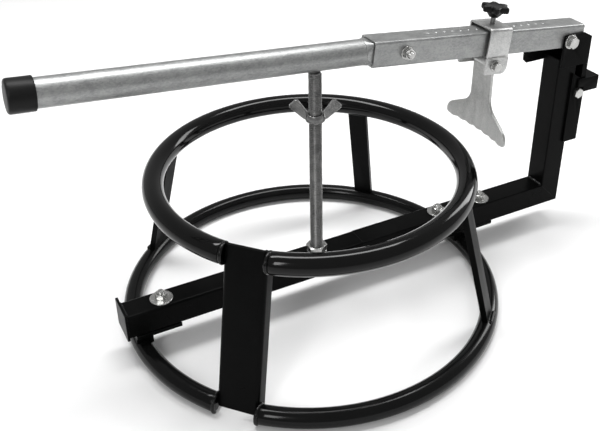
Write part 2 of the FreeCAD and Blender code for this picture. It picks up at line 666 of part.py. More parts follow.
def main():
    os.makedirs("parts", exist_ok=True)
    groups = (
        ring_stand, bar_and_post, bar_fasteners, centre_rod, wing_nut,
        bracket_parts, handle_parts, slider_parts, knob_parts, shoe_parts,
    )
    for group in groups:
        for name, shape in group().items():
            shape.translate(Vector(RING_CENTRE_X, 0, 0))
            solids_only(shape).exportStep("parts/" + name + ".step")
            print(name, len(shape.Solids), round(shape.Volume / 1000, 2))


main()
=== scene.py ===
import bmesh
import bpy
from math import cos, pi, radians, sin, tan
from mathutils import Matrix, Vector, noise


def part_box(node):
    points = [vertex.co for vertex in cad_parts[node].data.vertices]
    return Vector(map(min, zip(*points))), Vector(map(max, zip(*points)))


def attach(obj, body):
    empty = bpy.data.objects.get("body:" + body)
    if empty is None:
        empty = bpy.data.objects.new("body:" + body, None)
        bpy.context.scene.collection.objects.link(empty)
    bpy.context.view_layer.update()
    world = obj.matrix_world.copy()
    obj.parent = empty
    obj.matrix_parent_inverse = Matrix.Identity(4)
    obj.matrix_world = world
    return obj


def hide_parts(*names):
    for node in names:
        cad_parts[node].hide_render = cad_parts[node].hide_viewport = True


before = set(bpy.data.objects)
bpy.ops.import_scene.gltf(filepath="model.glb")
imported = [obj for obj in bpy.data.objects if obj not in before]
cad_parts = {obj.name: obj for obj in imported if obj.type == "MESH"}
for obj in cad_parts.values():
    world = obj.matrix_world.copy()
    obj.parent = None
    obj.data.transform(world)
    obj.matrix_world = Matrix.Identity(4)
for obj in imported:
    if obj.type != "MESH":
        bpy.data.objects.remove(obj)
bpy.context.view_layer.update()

mm = 0.001
toMetres = Matrix.Scale(mm, 4)
scene = bpy.context.scene


def middle(node):
    low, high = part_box(node)
    return (low + high) / 2


def lumps(node):
    # the (low, high) corners of each separate solid in a CAD node, from left to right
    bm = bmesh.new()
    bm.from_mesh(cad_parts[node].data)
    bmesh.ops.remove_doubles(bm, verts=bm.verts, dist=1e-6)
    waiting = set(bm.verts)
    found = []
    while waiting:
        edge = [waiting.pop()]
        members = []
        while edge:
            vert = edge.pop()
            members.append(vert.co.copy())
            for link in vert.link_edges:
                other = link.other_vert(vert)
                if other in waiting:
                    waiting.remove(other)
                    edge.append(other)
        low = Vector([min(point[axis] for point in members) for axis in range(3)])
        high = Vector([max(point[axis] for point in members) for axis in range(3)])
        found.append((low, high))
    bm.free()
    return sorted(found, key=lambda pair: (round(pair[0].x, 4), pair[0].z, pair[0].y))


def addPiece(name, bm, body, finish, place=toMetres, stands=(), sharp=28):
    # finish is (material, slot); place carries the millimetre mesh into the frame
    bmesh.ops.transform(bm, matrix=place, verts=bm.verts)
    bmesh.ops.remove_doubles(bm, verts=bm.verts, dist=2e-6)
    bmesh.ops.recalc_face_normals(bm, faces=bm.faces)
    mesh = bpy.data.meshes.new(name)
    bm.to_mesh(mesh)
    bm.free()
    mesh.polygons.foreach_set("use_smooth", [True] * len(mesh.polygons))
    mesh.set_sharp_from_angle(angle=radians(sharp))
    mesh.materials.append(finish[0])
    piece = bpy.data.objects.new(name, mesh)
    scene.collection.objects.link(piece)
    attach(piece, body)
    if stands:
        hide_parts(*stands)
    return piece


def bridge(bm, rings, closed=False):
    # rings of equal length, or single points, joined one to the next
    pairs = list(zip(rings, rings[1:]))
    if closed:
        pairs.append((rings[-1], rings[0]))
    for lower, upper in pairs:
        for step in range(max(len(lower), len(upper))):
            corners = []
            for ring, index in ((lower, step), (lower, step + 1), (upper, step + 1), (upper, step)):
                vert = ring[index % len(ring)]
                if vert not in corners:
                    corners.append(vert)
            if len(corners) > 2:
                bm.faces.new(corners)


def lathe(bm, profile, steps=48, closed=False):
    # profile is (radius, height) pairs, turned about Z
    rings = []
    for radius, height in profile:
        if radius < 1e-6:
            rings.append([bm.verts.new((0, 0, height))])
            continue
        turn = [2 * pi * step / steps for step in range(steps)]
        rings.append([bm.verts.new((radius * cos(a), radius * sin(a), height)) for a in turn])
    bridge(bm, rings, closed)


def hexBlock(bm, flats, height, bore=0.0, base=0.0, bothEnds=True, steps=72):
    # a nut, or a bolt head when there is no bore, with the turned 30 degree chamfer of the real thing
    face = flats / 2 * 0.95
    turn = [2 * pi * step / steps for step in range(steps)]
    reach = [flats / 2 / cos((a + pi / 6) % (pi / 3) - pi / 6) for a in turn]

    def level(height, inwards, radius=None):
        ring = []
        for a, r in zip(turn, reach):
            drop = (r - face) * tan(radians(30)) * inwards
            use = r if radius is None else radius
            ring.append(bm.verts.new((use * cos(a), use * sin(a), base + height + drop)))
        return ring

    rings = [
        level(0, 0, face),
        level(0, 1 if bothEnds else 0),
        level(height, -1),
        level(height, 0, face),
    ]
    if bore:
        lead = bore + 0.7
        rings += [level(height, 0, lead), level(height - 0.7, 0, bore)]
        rings += [level(0.7, 0, bore), level(0, 0, lead)]
        bridge(bm, rings, closed=True)
        return
    rings.append([bm.verts.new((0, 0, base + height))])
    rings.insert(0, [bm.verts.new((0, 0, base))])
    bridge(bm, rings)


def washer(bm, outer, inner, thickness, base=0.0):
    soft = thickness * 0.22
    top = base + thickness
    profile = [
        (inner, base), (outer - soft, base), (outer, base + soft), (outer, top - soft * 1.6),
        (outer - soft * 1.8, top), (inner + soft, top), (inner, top - soft),
    ]
    lathe(bm, profile, 56, closed=True)


def threadedShaft(bm, radius, pitch, start, end, chamfer=0.8, steps=28):
    # a single-start thread: crest and root rows climb one pitch a turn
    root = radius - pitch * 0.42
    tip = radius - chamfer
    rows = int((end - start) / pitch * 2) + 6
    rings = []
    for row in range(rows):
        ring = []
        for step in range(steps):
            height = start + pitch * (row / 2 - 1 + step / steps)
            height = min(max(height, start), end)
            room = tip + min(height - start, end - height)
            use = min(radius if row % 2 else root, room)
            angle = 2 * pi * step / steps
            ring.append(bm.verts.new((use * cos(angle), use * sin(angle), height)))
        rings.append(ring)
    for row in range(rows - 1):
        for step in range(steps):
            nextRow = row if step < steps - 1 else row + 2
            after = (step + 1) % steps
            if nextRow + 1 >= rows:
                continue
            lower = (rings[row][step], rings[nextRow][after])
            upper = (rings[nextRow + 1][after], rings[row + 1][step])
            bm.faces.new(lower + upper)
    bmesh.ops.remove_doubles(bm, verts=bm.verts, dist=1e-4)
    bmesh.ops.dissolve_degenerate(bm, dist=1e-4, edges=bm.edges)
    bmesh.ops.holes_fill(bm, edges=[edge for edge in bm.edges if edge.is_boundary], sides=0)


def sweep(bm, path, radii, steps=16, closed=False):
    # a round section carried along a path without twisting
    count = len(path)
    rings = []
    side = None
    for index, point in enumerate(path):
        before = path[index - 1] if index or closed else point
        after = path[(index + 1) % count] if index < count - 1 or closed else point
        forward = (after - before).normalized()
        if side is None:
            side = forward.orthogonal().normalized()
        side = (side - forward * side.dot(forward)).normalized()
        up = forward.cross(side)
        radius = radii[index] if isinstance(radii, list) else radii
        ring = []
        for step in range(steps):
            angle = 2 * pi * step / steps
            ring.append(bm.verts.new(point + (side * cos(angle) + up * sin(angle)) * radius))
        rings.append(ring)
    if not closed:
        rings.insert(0, [bm.verts.new(path[0])])
        rings.append([bm.verts.new(path[-1])])
    bridge(bm, rings, closed)


def roundedOutline(corners, segments=5):
    # corners are (u, v, radius); returns the outline with each corner rounded
    outline = []
    count = len(corners)
    for index, (u, v, radius) in enumerate(corners):
        here = Vector((u, v))
        back = (Vector(corners[index - 1][:2]) - here).normalized()
        ahead = (Vector(corners[(index + 1) % count][:2]) - here).normalized()
        half = back.angle(ahead) / 2
        if radius <= 0 or half > radians(89):
            outline.append(here)
            continue
        reach = radius / tan(half)
        centre = here + (back + ahead).normalized() * (radius / sin(half))
        first = here + back * reach - centre
        last = here + ahead * reach - centre
        swing = first.angle_signed(last)
        for step in range(segments + 1):
            turned = first.copy()
            turned.rotate(Matrix.Rotation(-swing * step / segments, 2))
            outline.append(centre + turned)
    return outline


def flatPlate(bm, outline, depth, soften=0.4, base=0.0, segments=2):
    # the outline lies in X and Z, and the plate runs along Y from base to base + depth
    near = [bm.verts.new((u, base, v)) for u, v in outline]
    far = [bm.verts.new((u, base + depth, v)) for u, v in outline]
    faces = [bm.faces.new(near), bm.faces.new(list(reversed(far)))]
    rims = [edge for face in faces for edge in face.edges]
    bridge(bm, [near, far])
    if soften:
        bmesh.ops.bevel(bm, geom=rims, offset=soften, segments=segments, profile=0.6, affect="EDGES")


def addNode(tree, kind, inputs=None, **settings):
    node = tree.nodes.new("ShaderNode" + kind)
    for key, value in settings.items():
        setattr(node, key, value)
    for key, value in (inputs or {}).items():
        if isinstance(value, bpy.types.NodeSocket):
            tree.links.new(value, node.inputs[key])
        else:
            node.inputs[key].default_value = value
    return node


def newGroup(name, inputs, outputs):
    group = bpy.data.node_groups.new(name, "ShaderNodeTree")
    for title, kind, value in inputs:
        socket = group.interface.new_socket(title, in_out="INPUT", socket_type="NodeSocket" + kind)
        if value is not None:
            socket.default_value = value
    for title, kind in outputs:
        group.interface.new_socket(title, in_out="OUTPUT", socket_type="NodeSocket" + kind)
    source = group.nodes.new("NodeGroupInput")
    target = group.nodes.new("NodeGroupOutput")
    return group, source.outputs, target.inputs


def blendColour(tree, factor, low, high):
    node = addNode(tree, "Mix", {0: factor, 6: low, 7: high}, data_type="RGBA")
    return node.outputs[2]


def remap(tree, value, fromLow, fromHigh, toLow, toHigh):
    node = addNode(tree, "MapRange", {0: value, 1: fromLow, 2: fromHigh, 3: toLow, 4: toHigh})
    return node.outputs[0]


def maths(tree, operation, first, second=0.0, clamp=False):
    return addNode(tree, "Math", {0: first, 1: second}, operation=operation, use_clamp=clamp).outputs[0]


def noiseAt(tree, vector, scale, detail, roughness):
    inputs = {"Vector": vector, "Scale": scale, "Detail": detail, "Roughness": roughness}
    return addNode(tree, "TexNoise", inputs).outputs[0]


def buildMottle():
    # cloudy patches, a fine crystal pattern and drawing streaks of plated steel
    inputs = [("Patch Scale", "Float", 70.0), ("Crystal Scale", "Float", 420.0)]
    inputs.append(("Stretch", "Vector", (1, 1, 1)))
    outputs = [("Patches", "Float"), ("Crystals", "Float"), ("Height", "Float")]
    group, source, target = newGroup("steelMottle", inputs, outputs)
    coord = addNode(group, "TexCoord").outputs["Object"]
    spread = addNode(group, "Mapping", {"Vector": coord, "Scale": source["Stretch"]}).outputs[0]
    cloud = noiseAt(group, spread, source["Patch Scale"], 6.0, 0.62)
    grains = {"Vector": spread, "Scale": source["Crystal Scale"], "Randomness": 1.0}
    crystal = addNode(group, "TexVoronoi", grains).outputs["Color"]
    fine = noiseAt(group, coord, 1500.0, 3.0, 0.7)
    tone = addNode(group, "SeparateColor", {0: crystal}).outputs[0]
    fineShare = maths(group, "MULTIPLY", fine, 0.6)
    toneShare = maths(group, "MULTIPLY", tone, 0.4)
    group.links.new(remap(group, cloud, 0.33, 0.68, 0.0, 1.0), target["Patches"])
    group.links.new(tone, target["Crystals"])
    group.links.new(maths(group, "ADD", fineShare, toneShare), target["Height"])
    return group


def buildGrain():
    # the orange peel and slow tone changes of a baked coat or a moulding
    inputs = [("Grain Scale", "Float", 700.0), ("Cloud Scale", "Float", 22.0)]
    outputs = [("Height", "Float"), ("Cloud", "Float"), ("Speckle", "Float")]
    group, source, target = newGroup("coatGrain", inputs, outputs)
    coord = addNode(group, "TexCoord").outputs["Object"]
    peel = noiseAt(group, coord, source["Grain Scale"], 2.0, 0.5)
    cloud = noiseAt(group, coord, source["Cloud Scale"], 4.0, 0.6)
    speck = noiseAt(group, coord, 2600.0, 1.0, 0.5)
    group.links.new(peel, target["Height"])
    group.links.new(remap(group, cloud, 0.3, 0.7, 0.0, 1.0), target["Cloud"])
    group.links.new(remap(group, speck, 0.35, 0.65, 0.0, 1.0), target["Speckle"])
    return group


def buildEdgeWear():
    # finds corners, softens them and gives a broken mask of where the finish has rubbed
    inputs = [("Width", "Float", 0.0006), ("Break Up", "Float", 180.0)]
    outputs = [("Mask", "Float"), ("Normal", "Vector")]
    group, source, target = newGroup("edgeWear", inputs, outputs)
    soft = addNode(group, "Bevel", {"Radius": source["Width"]}, samples=6)
    flat = addNode(group, "NewGeometry").outputs["Normal"]
    bend = addNode(group, "VectorMath", {0: soft.outputs[0], 1: flat}, operation="DOT_PRODUCT")
    turn = remap(group, bend.outputs["Value"], 0.995, 0.86, 0.0, 1.0)
    coord = addNode(group, "TexCoord").outputs["Object"]
    broken = noiseAt(group, coord, source["Break Up"], 5.0, 0.7)
    gaps = remap(group, broken, 0.4, 0.62, 0.0, 1.0)
    group.links.new(maths(group, "MULTIPLY", turn, gaps, clamp=True), target["Mask"])
    group.links.new(soft.outputs[0], target["Normal"])
    return group


def buildDust():
    # a thin film that settles on faces that look up
    inputs = [("Spread", "Float", 40.0)]
    group, source, target = newGroup("settledDust", inputs, [("Mask", "Float")])
    up = addNode(group, "SeparateXYZ", {0: addNode(group, "NewGeometry").outputs["Normal"]}).outputs[2]
    coord = addNode(group, "TexCoord").outputs["Object"]
    patch = remap(group, noiseAt(group, coord, source["Spread"], 5.0, 0.65), 0.35, 0.7, 0.1, 1.0)
    lie = remap(group, up, 0.35, 1.0, 0.0, 1.0)
    group.links.new(maths(group, "MULTIPLY", lie, patch), target["Mask"])
    return group


steelMottle = buildMottle()
coatGrain = buildGrain()
edgeWear = buildEdgeWear()
settledDust = buildDust()
print("shader groups made")


def useGroup(tree, group, **inputs):
    node = tree.nodes.new("ShaderNodeGroup")
    node.node_tree = group
    for key, value in inputs.items():
        node.inputs[key.replace("_", " ")].default_value = value
    return node.outputs


def startMaterial(name):
    material = bpy.data.materials.new(name)
    material.use_nodes = True
    tree = material.node_tree
    return material, tree, tree.nodes["Principled BSDF"]


def platedSteel(name, look):
    # patches and crystals share the tone; rubbed edges are lighter and smoother
    material, tree, shader = startMaterial(name)
    mottle = useGroup(tree, steelMottle, Patch_Scale=look["patchScale"],
                      Crystal_Scale=look["crystalScale"], Stretch=look["stretch"])
    wear = useGroup(tree, edgeWear, Width=look["edgeWidth"], Break_Up=120.0)
    patches = maths(tree, "MULTIPLY", mottle["Patches"], 1 - look["crystal"])
    crystals = maths(tree, "MULTIPLY", mottle["Crystals"], look["crystal"])
    mix = maths(tree, "ADD", patches, crystals)
    colour = blendColour(tree, mix, look["dark"], look["light"])
    colour = blendColour(tree, wear["Mask"], colour, look["edge"])
    tree.links.new(colour, shader.inputs["Base Color"])
    rough = remap(tree, mix, 0.0, 1.0, look["rough"][0], look["rough"][1])
    rough = maths(tree, "SUBTRACT", rough, maths(tree, "MULTIPLY", wear["Mask"], 0.08))
    tree.links.new(rough, shader.inputs["Roughness"])
    shader.inputs["Metallic"].default_value = look["metallic"]
    bump = addNode(tree, "Bump", {"Height": mottle["Height"], "Normal": wear["Normal"],
                                  "Strength": look["bump"], "Distance": 0.0001})
    tree.links.new(bump.outputs[0], shader.inputs["Normal"])
    return material


dustColour = (0.32, 0.31, 0.3, 1)


def darkCoat(name, look):
    # a near-black base under specks, settled dust and rubbed edges, in that order
    material, tree, shader = startMaterial(name)
    grain = useGroup(tree, coatGrain, Grain_Scale=look["grainScale"], Cloud_Scale=look["cloudScale"])
    wear = useGroup(tree, edgeWear, Width=look["edgeWidth"], Break_Up=look["breakUp"])
    dust = useGroup(tree, settledDust, Spread=look["dustSpread"])
    colour = blendColour(tree, grain["Cloud"], look["dark"], look["light"])
    specks = maths(tree, "MULTIPLY", grain["Speckle"], look["speckle"])
    colour = blendColour(tree, specks, colour, look["edge"])
    film = maths(tree, "MULTIPLY", dust["Mask"], look["dust"])
    colour = blendColour(tree, film, colour, dustColour)
    rubbed = maths(tree, "MULTIPLY", wear["Mask"], look["wear"])
    colour = blendColour(tree, rubbed, colour, look["edge"])
    tree.links.new(colour, shader.inputs["Base Color"])
    rough = remap(tree, grain["Cloud"], 0.0, 1.0, look["rough"][0], look["rough"][1])
    dulled = maths(tree, "MULTIPLY", dust["Mask"], look["dust"] * 2)
    rough = maths(tree, "ADD", rough, dulled, clamp=True)
    tree.links.new(rough, shader.inputs["Roughness"])
    shader.inputs["Specular IOR Level"].default_value = look["specular"]
    shader.inputs["Coat Weight"].default_value = look["coat"]
    shader.inputs["Coat Roughness"].default_value = look["coatRough"]
    bump = addNode(tree, "Bump", {"Height": grain["Height"], "Normal": wear["Normal"],
                                  "Strength": look["bump"], "Distance": look["bumpDepth"]})
    tree.links.new(bump.outputs[0], shader.inputs["Normal"])
    return material


tubeZinc = {
    "dark": (0.24, 0.245, 0.245, 1), "light": (0.41, 0.415, 0.41, 1), "edge": (0.75, 0.75, 0.74, 1),
    "rough": (0.38, 0.5), "metallic": 0.95, "patchScale": 80.0, "crystalScale": 700.0,
    "crystal": 0.5, "stretch": (0.6, 1.0, 1.0), "edgeWidth": 0.0007, "bump": 0.5,
}
plateZinc = dict(tubeZinc, light=(0.60, 0.60, 0.59, 1), dark=(0.36, 0.365, 0.365, 1), patchScale=75.0,
                 stretch=(1.0, 1.0, 1.0), rough=(0.36, 0.46), edge=(0.85, 0.85, 0.84, 1), edgeWidth=0.0009)
shoeZinc = dict(plateZinc, light=(0.52, 0.52, 0.51, 1), dark=(0.32, 0.325, 0.32, 1), patchScale=58.0)
boltZinc = dict(tubeZinc, light=(0.56, 0.56, 0.55, 1), dark=(0.40, 0.40, 0.39, 1), patchScale=110.0,
                crystalScale=900.0, crystal=0.1, stretch=(1.0, 1.0, 1.0), rough=(0.2, 0.3),
                edgeWidth=0.0005, bump=0.2)
rodZinc = dict(boltZinc, light=(0.26, 0.26, 0.255, 1), dark=(0.12, 0.12, 0.12, 1), rough=(0.3, 0.42),
               edge=(0.5, 0.5, 0.49, 1), edgeWidth=0.0004)
wingZinc = dict(boltZinc, light=(0.27, 0.27, 0.265, 1), dark=(0.15, 0.15, 0.15, 1),
                edge=(0.9, 0.9, 0.89, 1), edgeWidth=0.0013)
weldZinc = dict(boltZinc, bump=0.9, rough=(0.28, 0.45), patchScale=220.0)

powderBlack = {
    "dark": (0.0007, 0.0008, 0.0008, 1), "light": (0.0022, 0.0023, 0.0023, 1), "edge": (0.05, 0.05, 0.05, 1),
    "grainScale": 620.0, "cloudScale": 18.0, "speckle": 0.04, "edgeWidth": 0.0011, "breakUp": 160.0,
    "dustSpread": 45.0, "dust": 0.003, "wear": 0.35, "rough": (0.27, 0.35), "specular": 0.04,
    "coat": 0.0, "coatRough": 0.1, "bump": 0.2, "bumpDepth": 0.00012,
}
ringBlack = dict(powderBlack, rough=(0.13, 0.18), bump=0.06, specular=0.17, speckle=0.05)
vinylBlack = dict(powderBlack, dark=(0.0006, 0.0006, 0.0006, 1), light=(0.0014, 0.0014, 0.0014, 1),
                  rough=(0.08, 0.12), grainScale=160.0, bump=0.05, wear=0.1, dust=0.002, specular=0.22,
                  speckle=0.02)
plasticBlack = dict(powderBlack, dark=(0.003, 0.003, 0.003, 1), light=(0.006, 0.006, 0.006, 1),
                    rough=(0.36, 0.46), grainScale=1400.0, bump=0.3, wear=0.25, dust=0.006,
                    edgeWidth=0.0005, specular=0.16)
weldBlack = dict(powderBlack, rough=(0.14, 0.22), grainScale=260.0, bump=0.5, bumpDepth=0.0003,
                 edgeWidth=0.0003, specular=0.25)

zincTube = (platedSteel("mottledZincTube", tubeZinc), "zinc_steel")
zincPlate = (platedSteel("lightZincPlate", plateZinc), "zinc_steel")
zincShoe = (platedSteel("satinZincShoe", shoeZinc), "zinc_steel")
zincBolt = (platedSteel("brightZincFastener", boltZinc), "bright_zinc")
zincRod = (platedSteel("zincThread", rodZinc), "zinc_steel")
zincWing = (platedSteel("zincWingNut", wingZinc), "bright_zinc")
zincWeld = (platedSteel("zincWeldBead", weldZinc), "zinc_steel")
blackCoat = (darkCoat("blackPowderCoat", powderBlack), "black_powder_coat")
blackRing = (darkCoat("blackRingCoat", ringBlack), "black_powder_coat")
blackWeld = (darkCoat("coatedWeldBead", weldBlack), "black_powder_coat")
blackVinyl = (darkCoat("glossVinylSleeve", vinylBlack), "black_vinyl")
blackPlastic = (darkCoat("mouldedBlackPlastic", plasticBlack), "black_plastic")

cadFinish = {
    zincTube: ["lever_tube", "handle_pipe", "handle_neck", "handle_spigot", "pivot_bush"],
    zincPlate: ["slider_saddle", "yoke_tab_front", "yoke_tab_rear", "shoe_barrel"],
    zincShoe: ["shoe_blade"],
    zincBolt: [
        "bar_bolts", "bar_bolt_washers", "bar_bolt_nuts", "rod_nuts", "rod_washer", "hinge_bolt",
        "hinge_washers", "hinge_nut", "bracket_bolt", "bracket_nut", "bracket_washer", "handle_bolt",
        "handle_bolt_washers", "handle_nut", "shoe_pivot_bolt", "shoe_pivot_washers", "shoe_pivot_nut",
    ],
    zincWing: ["wing_nut"],
    zincRod: ["threaded_rod", "clamp_screw"],
    blackRing: ["base_ring", "top_ring"],
    blackVinyl: ["top_ring_sleeve"],
    blackPlastic: ["clamp_knob", "handle_end_cap"],
    blackCoat: [
        "leg_joint_channel", "leg_front_right", "leg_back_right", "leg_back_left", "cross_bar", "post_arm",
        "post", "bar_splice_tube", "bar_end_plate", "mounting_pad_left", "mounting_pad_right",
        "hinge_bracket", "stop_block",
    ],
}
for finish, nodes in cadFinish.items():
    for node in nodes:
        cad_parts[node].data.materials.clear()
        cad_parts[node].data.materials.append(finish[0])
print("finishes made and given to the carried-over nodes")


ringMiddle = middle("base_ring")
ringMiddle.z = 0
pivot = middle("hinge_bolt")
pivot.y = 0
leverTilt = radians(6.26)
leverAxisRise = 5.33  # from the pivot up to the square tube's axis
leverTurn = Matrix.Rotation(leverTilt, 4, "Y")
onRings = Matrix.Translation(ringMiddle) @ toMetres
onLever = Matrix.Translation(pivot) @ leverTurn @ toMetres
handlePlace = {"mouth": -301.1, "droop": radians(1.69), "length": 400.0}
handleTurn = Matrix.Rotation(-handlePlace["droop"], 4, "Y")
onHandle = onLever @ Matrix.Translation((handlePlace["mouth"], 0, leverAxisRise)) @ handleTurn


def upright(x, y, z, down=False):
    # carries a piece built from zero upwards to a place on the bar, or hangs it there
    turn = Matrix.Rotation(pi, 4, "X") if down else Matrix.Identity(4)
    return Matrix.Translation((x, y, z)) @ turn @ toMetres


def crosswise(x, y, z, towards, turn=leverTurn):
    # carries a piece turned about Z so that its axis points along Y, towards -1 or 1
    return Matrix.Translation((x, y, z)) @ turn @ Matrix.Rotation(-towards * pi / 2, 4, "X") @ toMetres


boreSlack = 0.02    # a nut over its thread
washerSlack = 0.2   # a washer over its bolt
barFastener = {"headFlats": 12.7, "headHeight": 5.3, "shank": 4.0, "pitch": 1.25, "washerOuter": 13.7,
               "washerThick": 1.6, "nutHeight": 6.7}


def boltMesh(bm, flats, headHeight, shank, pitch, length, plain=4.0):
    # head below zero, shank upwards, threaded except for a short plain part under the head
    hexBlock(bm, flats, headHeight)
    bmesh.ops.transform(bm, matrix=Matrix.Rotation(pi, 4, "X"), verts=bm.verts)
    lathe(bm, [(0, -0.5), (shank, -0.5), (shank, plain), (0, plain)], 32)
    threadedShaft(bm, shank, pitch, plain - 0.2, length)


def barFastening(title, low, high, seatHeight, nodes):
    # one bolt up through the bar and a pad; nodes are (bolt, washer, nut), or empty after the first
    size = barFastener
    x = (low.x + high.x) / 2
    length = (high.z - low.z) / mm - size["headHeight"]
    bm = bmesh.new()
    boltMesh(bm, size["headFlats"], size["headHeight"], size["shank"], size["pitch"], length)
    boltPlace = upright(x, 0, low.z + size["headHeight"] * mm)
    addPiece("barBolt" + title, bm, "stand", zincBolt, boltPlace, nodes[:1])
    bm = bmesh.new()
    washer(bm, size["washerOuter"], size["shank"] + washerSlack, size["washerThick"])
    addPiece("barWasher" + title, bm, "stand", zincBolt, upright(x, 0, seatHeight), nodes[1:2])
    bm = bmesh.new()
    hexBlock(bm, size["headFlats"], size["nutHeight"], size["shank"] + boreSlack, size["washerThick"])
    addPiece("barNut" + title, bm, "stand", zincBolt, upright(x, 0, seatHeight), nodes[2:])


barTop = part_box("bar_bolt_washers")[0].z
barNodes = ("bar_bolts", "bar_bolt_washers", "bar_bolt_nuts")
for title, (low, high) in zip(("Left", "Middle", "Right"), lumps("bar_bolts")):
    barFastening(title, low, high, barTop, barNodes if title == "Left" else ())
print("bar fasteners made")


rodSize = {"radius": 7.9, "pitch": 2.31, "chamfer": 1.4, "nutFlats": 23.8, "upperNut": 8.0, "lowerNut": 4.0,
           "washerOuter": 12.6, "washerThick": 1.2}
rodLow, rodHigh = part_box("threaded_rod")
rodX = (rodLow.x + rodHigh.x) / 2
rodLength = (rodHigh.z - rodLow.z) / mm
bm = bmesh.new()
threadedShaft(bm, rodSize["radius"], rodSize["pitch"], 0, rodLength, rodSize["chamfer"], 36)
addPiece("centreRod", bm, "stand", zincRod, upright(rodX, 0, rodLow.z), ("threaded_rod",), sharp=24)

barLow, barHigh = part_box("cross_bar")
rodBore = rodSize["radius"] + boreSlack
bm = bmesh.new()
washer(bm, rodSize["washerOuter"], rodSize["radius"] + washerSlack, rodSize["washerThick"])
addPiece("rodWasher", bm, "stand", zincBolt, upright(rodX, 0, barHigh.z), ("rod_washer",))
bm = bmesh.new()
hexBlock(bm, rodSize["nutFlats"], rodSize["upperNut"], rodBore, rodSize["washerThick"])
addPiece("rodNutUpper", bm, "stand", zincBolt, upright(rodX, 0, barHigh.z), ("rod_nuts",))
bm = bmesh.new()
hexBlock(bm, rodSize["nutFlats"], rodSize["lowerNut"], rodBore)
addPiece("rodNutLower", bm, "stand", zincBolt, upright(rodX, 0, barLow.z, down=True))

wingNut = {
    "turn": radians(-28),
    "hub": [(7.95, 0), (11.0, 0), (11.6, 0.6), (11.5, 2.0), (10.9, 8.6), (10.3, 9.4), (8.5, 9.5),
            (7.95, 8.9)],
    "wing": [(9.0, 0.8, 0), (13.5, 2.5, 7), (31.5, 18.5, 2.4), (21.5, 28.2, 2.4), (9.0, 10.5, 0)],
    "thick": 3.5, "rim": 1.5, "step": 0.7, "dish": 0.55, "round": 0.5,
}


def wingMesh(bm, side):
    # one wing: a pressed plate with a raised rim around a shallow dish
    part = bmesh.new()
    thick = wingNut["thick"]
    flatPlate(part, roundedOutline(wingNut["wing"], 6), thick, 0, -thick / 2)
    for face in [face for face in part.faces if abs(face.normal.y) > 0.9]:
        out = face.normal.copy()
        bmesh.ops.inset_region(part, faces=[face], thickness=wingNut["rim"])
        bmesh.ops.inset_region(part, faces=[face], thickness=wingNut["step"])
        bmesh.ops.translate(part, vec=-out * wingNut["dish"], verts=face.verts)
    rims = [edge for edge in part.edges if len(edge.link_faces) == 2 and edge.calc_face_angle() > 1.3]
    bmesh.ops.bevel(part, geom=rims, offset=wingNut["round"], segments=3, profile=0.5, affect="EDGES")
    bmesh.ops.transform(part, matrix=Matrix.Rotation(side, 4, "Z"), verts=part.verts)
    mesh = bpy.data.meshes.new("wing")
    part.to_mesh(mesh)
    part.free()
    bm.from_mesh(mesh)
    bpy.data.meshes.remove(mesh)


bm = bmesh.new()
lathe(bm, wingNut["hub"], 56, closed=True)
wingMesh(bm, 0)
wingMesh(bm, pi)
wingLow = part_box("wing_nut")[0]
wingPlace = Matrix.Translation((rodX, 0, wingLow.z)) @ Matrix.Rotation(wingNut["turn"], 4, "Z") @ toMetres
addPiece("wingNut", bm, "wing_nut_body", zincWing, wingPlace, ("wing_nut",), sharp=35)
print("centre rod and wing nut made")


hingeFastener = {"flats": 14.3, "head": 6.175, "shank": 4.75, "pitch": 1.5, "washer": 9.8, "nut": 8.3}
clampFastener = {"flats": 12.7, "head": 5.2, "shank": 4.0, "pitch": 1.25, "washer": 7.2, "nut": 6.7}
handleFastener = {"flats": 12.7, "head": 5.2, "shank": 4.0, "pitch": 1.25, "washer": 8.5, "nut": 6.7}
shoeFastener = {"flats": 11.0, "head": 5.2, "shank": 4.0, "pitch": 1.25, "washer": 7.5, "nut": 6.5}
crossWasherThick = 1.5


def crossFastening(title, size, body, nodes, towards, turn=leverTurn, bothWashers=True):
    # nodes are (bolt, washers, nut); towards is the way the bolt points from its head
    boltLow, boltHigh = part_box(nodes[0])
    centre = (boltLow + boltHigh) / 2
    length = (boltHigh.y - boltLow.y) / mm
    head = boltLow.y if towards > 0 else boltHigh.y
    seat = head + towards * size["head"] * mm
    bm = bmesh.new()
    boltMesh(bm, size["flats"], size["head"], size["shank"], size["pitch"], length - size["head"])
    boltPlace = crosswise(centre.x, seat, centre.z, towards, turn)
    addPiece(title + "Bolt", bm, body, zincBolt, boltPlace, nodes[:1])
    washerLow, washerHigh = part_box(nodes[1])
    nutFace = washerHigh.y if towards > 0 else washerLow.y
    headFace = washerLow.y if towards > 0 else washerHigh.y
    thick = towards * crossWasherThick * mm
    bm = bmesh.new()
    washer(bm, size["washer"], size["shank"] + washerSlack, crossWasherThick)
    nutSide = crosswise(centre.x, nutFace - thick, centre.z, towards, turn)
    addPiece(title + "NutWasher", bm, body, zincBolt, nutSide, nodes[1:2])
    if bothWashers:
        bm = bmesh.new()
        washer(bm, size["washer"], size["shank"] + washerSlack, crossWasherThick)
        headSide = crosswise(centre.x, headFace + thick, centre.z, -towards, turn)
        addPiece(title + "HeadWasher", bm, body, zincBolt, headSide)
    nutLow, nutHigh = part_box(nodes[2])
    bm = bmesh.new()
    hexBlock(bm, size["flats"], size["nut"], size["shank"] + boreSlack)
    nutPlace = crosswise(centre.x, nutLow.y if towards > 0 else nutHigh.y, centre.z, towards, turn)
    addPiece(title + "Nut", bm, body, zincBolt, nutPlace, nodes[2:])


